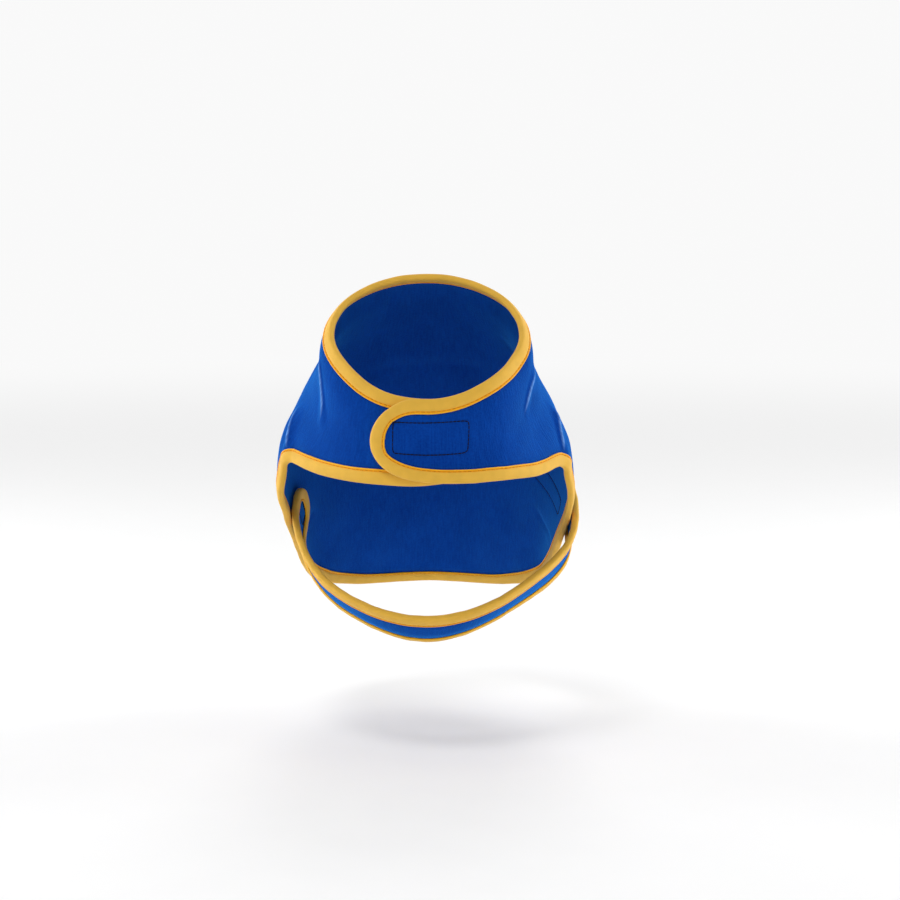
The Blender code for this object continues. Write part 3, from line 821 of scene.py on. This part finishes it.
def tape_piece(name, place, outline, rows, finish, sizes):
    """A tape folded over the edge of a piece of cloth, all the way round it."""
    stations = stations_round(place, outline, sizes.tape_cell)
    section = tape_section()
    count, corners = len(stations), len(section)
    scale = width_scale(stations, rows)
    rings = insets(place, stations, section[:, 0], scale)
    share = np.arange(count) / count
    pitch = sizes.stitch + sizes.gold_gap
    distance = reached(place, np.concatenate([stations, stations[:1]]))
    number = round(distance[-1] / pitch)
    pull = 0.5 - 0.5 * np.cos(2 * math.pi * number * distance[:-1] / distance[-1])
    points = []
    for (depth, rise), ring in zip(section, rings):
        near_groove = np.exp(-(((depth - GROOVE_DEPTH) / GROOVE_DENT_WIDTH) ** 2))
        dent = GROOVE_DENT * near_groove * (1 - pull) * np.sign(rise)
        points.append(moved_out(place, ring, rise - dent + edge_wave(share, depth)))
    across = summed(np.hypot(*(np.roll(section, -1, axis=0) - section).T))
    faces, uvs = [], []
    for corner in range(corners):
        here, there = corner * count, (corner + 1) % corners * count
        for i in range(count):
            j = (i + 1) % count
            faces.append([here + i, there + i, there + j, here + j])
            low, high = distance[i], distance[i + 1]
            v, w = across[corner], across[corner + 1]
            uvs += [(low, v), (low, w), (high, w), (high, v)]
    if turning(outline) < 0:
        faces = [face[::-1] for face in faces]
        uvs = np.asarray(uvs).reshape(-1, 4, 2)[:, ::-1]
    return new_piece(name, np.concatenate(points), faces, uvs, finish)


BEAD_SIDES, BEAD_RINGS = 7, 5


def bead():
    """A sphere of radius 1 with its poles on y, as points and faces."""
    rise = np.linspace(0, math.pi, BEAD_RINGS + 2)[1:-1, None]
    turn = np.linspace(0, 2 * math.pi, BEAD_SIDES, endpoint=False)
    parts = np.sin(rise) * np.sin(turn), -np.cos(rise), np.sin(rise) * np.cos(turn)
    rings = np.stack(np.broadcast_arrays(*parts), axis=-1).reshape(-1, 3)
    points = np.concatenate([[(0, -1, 0)], rings, [(0, 1, 0)]])
    faces = []
    for i in range(1, BEAD_SIDES + 1):
        j = i % BEAD_SIDES + 1
        faces.append([0, j, i])
        for a in range(0, len(rings) - BEAD_SIDES, BEAD_SIDES):
            faces.append([a + i, a + j, a + j + BEAD_SIDES, a + i + BEAD_SIDES])
        last = len(rings) - BEAD_SIDES
        faces.append([last + i, last + j, len(rings) + 1])
    return points, faces


def stitches(name, runs, thread, gap, finish, sizes):
    """One mesh of stitches. Each run is (points of its line, their ways out of the cloth)."""
    form, form_faces = bead()
    form[:, 1] = np.sign(form[:, 1]) * np.abs(form[:, 1]) ** STITCH_BLUNTNESS
    points, faces = [], []
    for line, out in runs:
        at = summed(np.linalg.norm(np.diff(line, axis=0), axis=1))
        number = max(1, round(at[-1] / (sizes.stitch + gap)))
        pitch = at[-1] / number
        half_stitch = (pitch - gap) / 2
        for k in range(number):
            middle = (k + 0.5) * pitch
            start = at_distances(middle - half_stitch, at, line)
            end = at_distances(middle + half_stitch, at, line)
            forward = (end - start) / np.linalg.norm(end - start)
            side = np.cross(forward, at_distances(middle, at, out))
            side /= np.linalg.norm(side)
            up = np.cross(side, forward)
            half = np.linalg.norm(end - start) / 2
            lift = thread * STITCH_LIFT * (1 - form[:, 1] ** 2)
            bead_points = (start + end) / 2 + form[:, :1] * side * thread / 2
            bead_points = bead_points + form[:, 1:2] * forward * half
            bead_points = bead_points + (form[:, 2] * thread / 2 + lift)[:, None] * up
            first = len(points) * len(form)
            points.append(bead_points)
            faces += [[v + first for v in face] for face in form_faces]
    corners = sum(len(face) for face in faces)
    return new_piece(name, np.concatenate(points), faces, np.zeros((corners, 2)), finish)


def seam_run(place, path, height):
    """A line of stitches that lies a height above a surface, or below it where it is negative."""
    out = normals(place, *path.T) * np.sign(height)
    return place(*path.T) + np.abs(height) * out, out


def binding_runs(place, outline, rows, sizes):
    """The two lines of stitches of a binding, one on each face."""
    stations = stations_round(place, outline, sizes.tape_cell)
    ring = insets(place, stations, [GROOVE_DEPTH], width_scale(stations, rows))[0]
    wave = edge_wave(np.arange(len(ring)) / len(ring), GROOVE_DEPTH)
    out = normals(place, *ring.T)
    runs = []
    for side in (1, -1):
        line = place(*ring.T) + out * (wave + side * (GROOVE_HEIGHT - SUNK_IN_GROOVE))[:, None]
        runs.append((np.concatenate([line, line[:1]]), np.concatenate([out, out[:1]]) * side))
    return runs


# How square a stitched rectangle's corners are, where it was turned and where it began.
TURNED_CORNERS, FIRST_CORNERS = 16, 60


def rounded_square(squareness):
    """Points round a square of side 2, its corners rounded on its lower and its higher x side."""
    turn = np.linspace(0, 2 * math.pi, 721)
    x, y = np.cos(turn), np.sin(turn)
    power = np.where(x < 0, *squareness)
    size = (np.abs(x) ** power + np.abs(y) ** power) ** (-1 / power)
    return x * size, y * size


def box_path(row, inset):
    """A rectangle with rounded corners, inset from a patch's edge, as places."""
    x, y = rounded_square((TURNED_CORNERS, TURNED_CORNERS))
    half_turn = row.half_turn - inset / (math.radians(1) * PATTERN_RADIUS)
    along = row.along - row.bow * (1 - x**2) + (row.half_along - inset) * y
    return np.stack([row.around + half_turn * x, along], axis=1)


def flap_box():
    """The flap's rectangle of stitches, which leans a little, as places."""
    x, y = rounded_square((TURNED_CORNERS, FIRST_CORNERS))
    towards_end, downwards = (x[:, None] + 1) / 2, (y[:, None] + 1) / 2
    upper = FLAP_BOX[0, 0] * (1 - towards_end) + FLAP_BOX[1, 0] * towards_end
    lower = FLAP_BOX[0, 1] * (1 - towards_end) + FLAP_BOX[1, 1] * towards_end
    bow = FLAP_BOX_BOW * (1 - x[:, None] ** 2) * [0, 1]
    return upper * (1 - downwards) + lower * downwards - bow


PATCH_GRID = (60, 26)
PATCH_CORNERS = (0.07, 0.14)  # how far a patch's corners draw in, round the figure and along it
PATCH_RIM, PATCH_RIM_WIDTH = 0.55, 0.12  # how thick its rim is and how wide, as shares


def patch_piece(row, place, distance, finish):
    """Half of a hook and loop pair, laid on a piece, that far out from its middle."""
    across, down = PATCH_GRID
    grid = np.stack(np.meshgrid(np.linspace(-1, 1, across), np.linspace(-1, 1, down)), -1)
    x, y = grid.reshape(-1, 2).T
    around = row.around + row.half_turn * x * (1 - PATCH_CORNERS[0] * y**6)
    half_along = row.half_along * y * (1 - PATCH_CORNERS[1] * x**6)
    along = row.along - row.bow * (1 - x**2) + half_along
    places = np.stack([around, along], axis=1)
    border = np.clip(1 - np.maximum(np.abs(x), np.abs(y)), 0, 1)
    half = PATCH / 2 * (PATCH_RIM + (1 - PATCH_RIM) * ease(border, 0, PATCH_RIM_WIDTH))
    walls = [moved_out(place, places, distance + side * half) for side in (1, -1)]
    faces = []
    for j in range(down - 1):
        for i in range(across - 1):
            a = j * across + i
            faces.append([a, a + 1, a + across + 1, a + across])
    total = across * down
    ring = list(range(across)) + [across * (j + 1) - 1 for j in range(1, down)]
    ring += [total - 1 - i for i in range(1, across)]
    ring += [across * (down - 1 - j) for j in range(1, down - 1)]
    rim = [[a, a + total, b + total, b] for a, b in zip(ring, ring[1:] + ring[:1])]
    return walled_piece(row.name.replace("patch", "pile"), places, walls, faces, rim, finish)


# ---- materials ----
RIB, TWILL = 0.0009, 0.00065  # the cloth's ribs and the tape's twill, from one to the next


class Value:
    """A shader socket. Sums and products of values add Math nodes."""

    def __init__(self, tree, socket=None):
        self.tree, self.socket = tree, socket

    def node(self, kind, settings=None, inputs=None, output=0):
        """Adds a node: its settings first, then its inputs, as plain values or links."""
        made = self.tree.nodes.new(kind)
        for name, setting in (settings or {}).items():
            setattr(made, name, setting)
        for name, value in (inputs or {}).items():
            if isinstance(value, Value):
                self.tree.links.new(value.socket, made.inputs[name])
            else:
                made.inputs[name].default_value = value
        return Value(self.tree, made.outputs[output])

    def math(self, operation, first, second=0.0):
        return self.node("ShaderNodeMath", {"operation": operation}, {0: first, 1: second})

    def __add__(self, other):
        return self.math("ADD", self, other)

    def __rsub__(self, other):
        return self.math("SUBTRACT", other, self)

    def __mul__(self, other):
        return self.math("MULTIPLY", self, other)

    __radd__, __rmul__ = __add__, __mul__

    def sine(self):
        return self.math("SINE", self)

    def smaller(self, other):
        return self.math("MINIMUM", self, other)

    def ramp(self, low, high, to_low=0.0, to_high=1.0):
        """This value, from low to high, carried smoothly from to_low to to_high."""
        settings = {"interpolation_type": "SMOOTHSTEP"}
        inputs = {0: self, 1: low, 2: high, 3: to_low, 4: to_high}
        return self.node("ShaderNodeMapRange", settings, inputs)

    def mix(self, low, high):
        """From one colour to another, as this value goes from 0 to 1."""
        inputs = {0: self, 6: low, 7: high}
        return self.node("ShaderNodeMix", {"data_type": "RGBA"}, inputs, output=2)


def noise(start, vector, scale, detail=2.0, roughness=0.5):
    inputs = {"Vector": vector, "Scale": scale, "Detail": detail, "Roughness": roughness}
    return start.node("ShaderNodeTexNoise", None, inputs)


def stretched(start, vector, scale):
    """A vector with each of its parts scaled."""
    return start.node("ShaderNodeMapping", None, {"Vector": vector, "Scale": scale})


def dress(base, roughness, height, bump_distance, **fixed):
    """Sets a material's principled shader from its varying values and its fixed ones."""
    shader = base.tree.nodes["Principled BSDF"]
    bumped = base.node(
        "ShaderNodeBump", None, {"Height": height, "Distance": bump_distance, "Strength": 1.0}
    )
    base.tree.links.new(base.socket, shader.inputs["Base Color"])
    base.tree.links.new(roughness.socket, shader.inputs["Roughness"])
    base.tree.links.new(bumped.socket, shader.inputs["Normal"])
    for socket, value in fixed.items():
        shader.inputs[socket.replace("_", " ")].default_value = value


def painted(name, paint):
    """The material of that name, which paint makes the first time."""
    made = bpy.data.materials.get(name)
    if made is None:
        made = bpy.data.materials.new(name)
        made.use_nodes = True
        start = Value(made.node_tree)
        paint(start, start.node("ShaderNodeTexCoord", output="Object"))
    return made


def shaded(tint, share):
    """A colour made lighter or darker, as a shader takes it."""
    return (*(min(1.0, part * share) for part in tint), 1.0)


def blue_cloth(colours):
    """Brushed cloth: a short nap in soft patches over fine ribs, with a painted highlight along a
    crease's crest.
    """

    def paint(start, place):
        pattern = start.node("ShaderNodeTexCoord", output="UV")
        around = start.node("ShaderNodeSeparateXYZ", None, {0: pattern}, "X")
        # crest: how strongly the painted highlight lies here, read from the points
        crest = start.node("ShaderNodeAttribute", {"attribute_name": "crest"}, None, "Fac")
        patches = noise(start, place, 38.0, 3.0)
        nap = noise(start, place, 1000.0, 3.0, 0.6).ramp(0.34, 0.66)
        streaks = noise(start, stretched(start, pattern, (1200.0, 110.0, 1.0)), 1.0, 2.0).ramp(0.34, 0.66)
        ribs = (around * (2 * math.pi / RIB)).sine()
        raised = patches.ramp(0.3, 0.72) * 0.3 + nap * 0.33 + streaks * 0.27 + ribs * 0.05
        base = raised.mix(shaded(colours.cloth, 1), shaded(colours.cloth_raised, 1))
        # Painted highlight: a paler blue along each crease's crest, streaked like the nap.
        base = (crest * (0.55 + streaks * 0.5)).mix(base, shaded(colours.cloth_crest_highlight, 1))
        height = nap * 0.5 + streaks * 0.45 + ribs * 0.10
        dress(
            base,
            nap.ramp(0.0, 1.0, 0.84, 0.96),
            height,
            0.00010,
            Sheen_Weight=0.70,
            Sheen_Roughness=0.42,
            Sheen_Tint=(0.03, 0.36, 1.0, 1.0),
            Specular_IOR_Level=0.03,
        )

    return painted("blue cloth", paint)


def yellow_tape(colours):
    """Twill tape, with a painted highlight on its raised turned edges and painted shade in its sewn
    grooves.
    """
    section = np.array(TAPE_FACE)
    face = float(np.hypot(*np.diff(section, axis=0).T).sum())
    whole = 2 * face + 2 * TAPE_FACE[-1].height

    def paint(start, place):
        pattern = start.node("ShaderNodeTexCoord", output="UV")
        along, across = (
            start.node("ShaderNodeSeparateXYZ", None, {0: pattern}, axis) for axis in ("X", "Y")
        )
        from_turned_edge = across.smaller(whole - across)
        mottle = noise(start, place, 150.0, 3.0)
        fuzz = noise(start, place, 2200.0, 2.0)
        twill = ((along + across) * (2 * math.pi / TWILL)).sine()
        # turned: where the painted highlight lies along the raised turned edge
        turned = from_turned_edge.ramp(0.00125, 0.0015, 1.0, 0.0)
        # groove: where painted shade lies in the sewn groove
        groove = from_turned_edge.ramp(0.00125, 0.0015) * from_turned_edge.ramp(0.0021, 0.0025, 1.0, 0.0)
        worn = mottle.ramp(0.3, 0.7) * 0.55 + fuzz * 0.35 + twill * 0.05
        base = worn.mix(shaded(colours.tape, 0.93), shaded(colours.tape, 1.06))
        # Painted highlight on the turned edge.
        base = turned.mix(base, shaded(colours.tape_edge, 1))
        # Painted shade in the sewn groove.
        base = groove.mix(base, shaded(colours.tape_groove, 1))
        dress(
            base,
            fuzz.ramp(0.2, 0.8, 0.66, 0.88),
            twill * 0.30 + fuzz * 0.5 + mottle * 0.3,
            0.00009,
            Sheen_Weight=0.10,
            Sheen_Roughness=0.5,
            Specular_IOR_Level=0.22,
        )

    return painted("yellow tape", paint)


def sewing_thread(name, tint):
    """Two-ply thread with a slight gloss."""

    def paint(start, place):
        ply = noise(start, place, 1900.0, 2.0)
        base = ply.ramp(0.3, 0.7).mix(shaded(tint, 0.7), shaded(tint, 1.15))
        dress(base, ply.ramp(0.2, 0.8, 0.6, 0.8), ply, 0.00008, Specular_IOR_Level=0.15)

    return painted(name, paint)


def hook_and_loop(colours):
    """Tape with a dense pile of hooks or loops, with painted shade down between them."""

    def paint(start, place):
        cells = {"Vector": place, "Scale": 1400.0}
        pile = start.node("ShaderNodeTexVoronoi", {"feature": "F1"}, cells, "Distance")
        fuzz = noise(start, place, 3000.0, 2.0)
        # Painted shade: the tape is darker down between the hooks or loops than on their tops.
        depth = (pile * 0.8 + fuzz * 0.3).ramp(0.2, 0.8)
        base = depth.mix(shaded(colours.navy_tape, 1), shaded(colours.navy_tape, 0.45))
        dress(base, fuzz.ramp(0.2, 0.8, 0.6, 0.85), 1 - pile, 0.0003)

    return painted("navy hook and loop", paint)


def pale_floor(colours):
    """A matte floor that passes into the light of the backdrop far away."""

    def paint(start, place):
        grain = noise(start, place, 30.0, 3.0)
        base = grain.mix(shaded(colours.floor, 0.985), shaded(colours.floor, 1))
        dress(base, grain.ramp(0.2, 0.8, 0.7, 0.8), grain, 0.00005)
        tree = start.tree
        glow = start.node("ShaderNodeEmission", None, {"Color": shaded(colours.backdrop, BACKDROP_LIGHT)})
        away = start.node("ShaderNodeVectorMath", {"operation": "LENGTH"}, {0: place}, "Value")
        shader = Value(tree, tree.nodes["Principled BSDF"].outputs[0])
        mixed = start.node("ShaderNodeMixShader", None, {0: away.ramp(0.5, 2.4), 1: shader, 2: glow})
        tree.links.new(mixed.socket, tree.nodes["Material Output"].inputs["Surface"])

    return painted("pale floor", paint)


def studio_air(colours, backdrop_strength, room_strength):
    """A world that is as bright as the backdrop behind the jacket, and dimmer all round."""
    world = bpy.data.worlds.new("studio")
    world.use_nodes = True
    background = world.node_tree.nodes["Background"]
    start = Value(world.node_tree)
    direction = start.node("ShaderNodeTexCoord", output="Generated")
    backwards = start.node("ShaderNodeSeparateXYZ", None, {0: direction}, "Y")
    strength = backwards.ramp(0.55, 0.93, room_strength, backdrop_strength)
    world.node_tree.links.new(strength.socket, background.inputs["Strength"])
    background.inputs["Color"].default_value = shaded(colours.backdrop, 1)
    return world


# ---- pieces ----
def settings(context):
    return context.scene.jacket_sizes, context.scene.jacket_colours


def one_turn_back(path):
    """The same places, in the degrees of the jacket's right side."""
    return path - [360, 0]


def bound(name, node, place, edge, rows, context):
    """The tape that binds an edge, and its stitches."""
    sizes, colours = settings(context)
    tape = tape_piece(f"{name}_tape", place, edge, rows, yellow_tape(colours), sizes)
    placed(tape, node)
    runs = binding_runs(place, edge, rows, sizes)
    thread = sewing_thread("gold thread", colours.gold_thread)
    sewn_name = f"{name}_tape_stitches"
    sewn = stitches(sewn_name, runs, sizes.gold_thread, sizes.gold_gap, thread, sizes)
    return tape, placed(sewn, None)


class JACKET_OT_coat_cloth(bpy.types.Operator):
    """Makes the coat: one cut of blue cloth with two chest flaps"""

    bl_idname = "jacket.coat_cloth"
    bl_label = "Coat cloth"

    def execute(self, context):
        sizes, colours = settings(context)
        sewn = [flap_box(), box_path(BELLY_LOOP, STITCHES_IN)]
        sewn += [one_turn_back(box_path(row, 0)) for row in (CHEST_LOOP, STRAP_BOX)]
        edge, finish = coat_outline(), blue_cloth(colours)
        coat = cloth_piece("coat_cloth", coat_place, edge, COAT_TAPE_WIDTHS, sewn, finish, sizes)
        placed(coat, "coat_body")
        return {"FINISHED"}


class JACKET_OT_coat_edge(bpy.types.Operator):
    """Makes the tape that binds the coat's edge, and its stitches"""

    bl_idname = "jacket.coat_edge"
    bl_label = "Coat edge"

    def execute(self, context):
        bound("coat", "coat_binding", coat_place, coat_outline(), COAT_TAPE_WIDTHS, context)
        return {"FINISHED"}


class JACKET_OT_strap(bpy.types.Operator):
    """Makes the belly strap: its cloth, the tape that binds it, and its stitches"""

    bl_idname = "jacket.strap"
    bl_label = "Belly strap"

    def execute(self, context):
        sizes, colours = settings(context)
        edge = strap_outline()
        sewn_through = [box_path(BELLY_HOOK, STITCHES_IN), box_path(STRAP_BOX, 0)]
        finish = blue_cloth(colours)
        strap = cloth_piece("strap_cloth", strap_place, edge, (), sewn_through, finish, sizes)
        placed(strap, "belly_strap")
        tape, sewn = bound("strap", "belly_strap_binding", strap_place, edge, (), context)
        return {"FINISHED"}


class JACKET_OT_fastenings(bpy.types.Operator):
    """Makes the hook and loop patches and the rectangles of stitches that hold them"""

    bl_idname = "jacket.fastenings"
    bl_label = "Hook and loop fastenings"

    def execute(self, context):
        sizes, colours = settings(context)
        on_face = (CLOTH + PATCH) / 2 + SEAM
        finish = hook_and_loop(colours)
        laid = (
            (CHEST_HOOK, coat_place, -1),
            (CHEST_LOOP, under_flap_place, 1),
            (BELLY_HOOK, strap_place, -1),
            (BELLY_LOOP, coat_place, 1),
        )
        cloth_face, patch_face = CLOTH / 2 - STITCH_DENT, on_face + PATCH / 2 - SUNK_IN_PATCH
        patches, runs = [], []
        for row, place, side in laid:
            patch = patch_piece(row, place, side * on_face, finish)
            patches.append(placed(patch, row.name))
            path = box_path(row, STITCHES_IN)
            runs.append(seam_run(place, path, side * patch_face))
            outer = flap_box() if row is CHEST_HOOK else path
            runs.append(seam_run(place, outer, -side * cloth_face))
        path = box_path(STRAP_BOX, 0)
        runs.append(seam_run(strap_place, path, -cloth_face))
        runs.append(seam_run(coat_place, one_turn_back(path), cloth_face))
        thread = sewing_thread("navy thread", colours.navy_thread)
        sewn = stitches("patch_stitches", runs, sizes.navy_thread, sizes.navy_gap, thread, sizes)
        placed(sewn, None)
        coat, tape, tape_sewn = (
            bpy.data.objects[name] for name in ("coat_cloth", "coat_tape", "coat_tape_stitches")
        )
        on_coat = [tape, tape_sewn, sewn, *patches]
        return {"FINISHED"}


LOOK_AT = Vector((0.01225, -0.044, -0.0532))
CAMERA_DISTANCE, CAMERA_RISE = 1.4, 7.0
SENSOR, LENS = 36.0, 112.0
FLOOR_RADIUS = 9.0
BACKDROP_LIGHT, ROOM_LIGHT = 0.95, 0.52
Light = namedtuple("Light", "name place size power")
LIGHTS = (
    Light("key", (-0.4, -1.3, 1.6), 0.6, 11.0),
    Light("left", (-1.4, 0.5, 0.25), 0.8, 13.5),
    Light("right", (1.4, 0.5, 0.25), 0.8, 13.5),
    Light("top", (0.2, 1.3, 1.5), 1.0, 5.0),
)


class JACKET_OT_stage(bpy.types.Operator):
    """Makes the floor, the light and the camera"""

    bl_idname = "jacket.stage"
    bl_label = "Stage"

    def execute(self, context):
        sizes, colours = settings(context)
        bpy.ops.object.select_all(action="DESELECT")
        bpy.ops.mesh.primitive_circle_add(
            vertices=96, radius=FLOOR_RADIUS, fill_type="NGON", location=(0, 0, sizes.floor)
        )
        floor = context.object
        floor.name = "floor"
        floor.data.materials.append(pale_floor(colours))

        context.scene.world = studio_air(colours, BACKDROP_LIGHT, ROOM_LIGHT)
        context.scene.view_settings.view_transform = "Standard"
        for row in LIGHTS:
            data = bpy.data.lights.new(row.name, "AREA")
            data.shape, data.size, data.energy = "DISK", row.size, row.power
            light = bpy.data.objects.new(row.name, data)
            context.scene.collection.objects.link(light)
            light.location = row.place
            towards = LOOK_AT - Vector(row.place)
            light.rotation_euler = towards.to_track_quat("-Z", "Y").to_euler()

        data = bpy.data.cameras.new("camera")
        data.sensor_width, data.lens = SENSOR, LENS
        camera = bpy.data.objects.new("camera", data)
        context.scene.collection.objects.link(camera)
        rise = math.radians(CAMERA_RISE)
        back = Vector((0, -math.cos(rise), math.sin(rise)))
        camera.location = LOOK_AT + back * CAMERA_DISTANCE
        camera.rotation_euler = (-back).to_track_quat("-Z", "Y").to_euler()
        context.scene.camera = camera
        return {"FINISHED"}


OPERATORS = (
    JACKET_OT_coat_cloth,
    JACKET_OT_coat_edge,
    JACKET_OT_strap,
    JACKET_OT_fastenings,
    JACKET_OT_stage,
)


class JACKET_PT_pieces(bpy.types.Panel):
    """Lists the jacket's pieces"""

    bl_idname = "JACKET_PT_pieces"
    bl_label = "Dog jacket"
    bl_space_type = "VIEW_3D"
    bl_region_type = "UI"
    bl_category = "Jacket"

    def draw(self, context):
        for group in settings(context):
            for name in group.bl_rna.properties.keys():
                if name not in ("rna_type", "name"):
                    self.layout.prop(group, name)
        for operator in OPERATORS:
            self.layout.operator(operator.bl_idname)


CLASSES = (JacketSizes, JacketColours, *OPERATORS, JACKET_PT_pieces)


def register():
    for each in CLASSES:
        bpy.utils.register_class(each)
    bpy.types.Scene.jacket_sizes = PointerProperty(type=JacketSizes)
    bpy.types.Scene.jacket_colours = PointerProperty(type=JacketColours)


def unregister():
    del bpy.types.Scene.jacket_colours
    del bpy.types.Scene.jacket_sizes
    for each in reversed(CLASSES):
        bpy.utils.unregister_class(each)


def main():
    register()
    bpy.ops.jacket.coat_cloth()
    bpy.ops.jacket.coat_edge()
    bpy.ops.jacket.strap()
    bpy.ops.jacket.fastenings()
    bpy.ops.jacket.stage()


if __name__ == "__main__":
    main()
